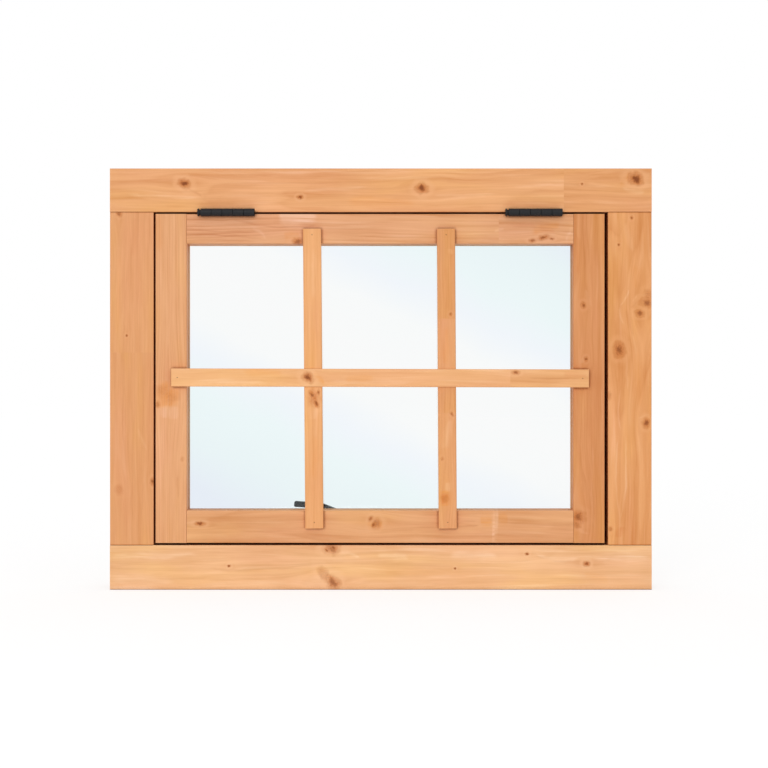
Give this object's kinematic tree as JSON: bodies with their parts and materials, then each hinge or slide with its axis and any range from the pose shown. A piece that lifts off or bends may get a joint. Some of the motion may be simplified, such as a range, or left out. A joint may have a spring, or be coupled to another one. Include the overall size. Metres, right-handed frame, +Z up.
{
  "type": "top-hung awning window",
  "caption": "Top-hung timber awning window in its frame, with planted glazing bars, butt hinges at the head and a peg stay on the sill.",
  "frame": {"origin": "centre of the sill's underside, half way through the frame's depth", "axes": "+X to the right seen from outside, +Y from the outside to the room, +Z up"},
  "size_m": [0.9, 0.0804, 0.7],
  "materials": {
    "timber": "clear satin stain on knotty softwood",
    "glass": "clear float glass",
    "glazing_tape": "matte butyl tape",
    "black_metal": "black satin powder coat",
    "screw_steel": "black coated screws",
    "nail_steel": "dull steel nails"
  },
  "bodies": {
    "frame": {"frame_head": "timber", "frame_sill": "timber", "frame_jamb_left": "timber", "frame_jamb_right": "timber", "hinge_left_frame_leaf": "black_metal", "hinge_right_frame_leaf": "black_metal", "hinge_left_pin": "black_metal", "hinge_right_pin": "black_metal", "hinge_frame_screws": "screw_steel", "stay_peg_closed": "black_metal", "stay_peg_closed_plate": "black_metal", "stay_peg_open": "black_metal", "stay_peg_open_plate": "black_metal", "stay_peg_screws": "screw_steel"},
    "sash": {"sash_stile_left": "timber", "sash_stile_right": "timber", "sash_rail_top": "timber", "sash_rail_bottom": "timber", "glass_pane": "glass", "glazing_tape": "glazing_tape", "glazing_bead_top": "timber", "glazing_bead_bottom": "timber", "glazing_bead_left": "timber", "glazing_bead_right": "timber", "bead_nails": "nail_steel", "bar_left": "timber", "bar_right": "timber", "bar_cross": "timber", "bar_nails": "nail_steel", "hinge_left_sash_leaf": "black_metal", "hinge_right_sash_leaf": "black_metal", "hinge_sash_screws": "screw_steel", "stay_bracket": "black_metal", "stay_bracket_screws": "screw_steel"},
    "stay_swivel": {"stay_swivel": "black_metal", "stay_rivet": "black_metal", "stay_arm_pin": "black_metal"},
    "stay_arm": {"stay_arm": "black_metal"}
  },
  "joints": [
    {"name": "sash_hinge", "type": "hinge", "parent": "frame", "child": "sash", "pos_m": [0, -0.0405, 0.6259], "axis": [-1, 0, 0], "range_deg": [0, 90]},
    {"name": "stay_swing", "type": "hinge", "parent": "sash", "child": "stay_swivel", "pos_m": [0.15, 0.017, 0.1005], "axis": [0, 0, -1], "range_deg": [0, 110]},
    {"name": "stay_lift", "type": "hinge", "parent": "stay_swivel", "child": "stay_arm", "pos_m": [0.136, 0.017, 0.1005], "axis": [0, 1, 0], "range_deg": [-4, 60]}
  ]
}
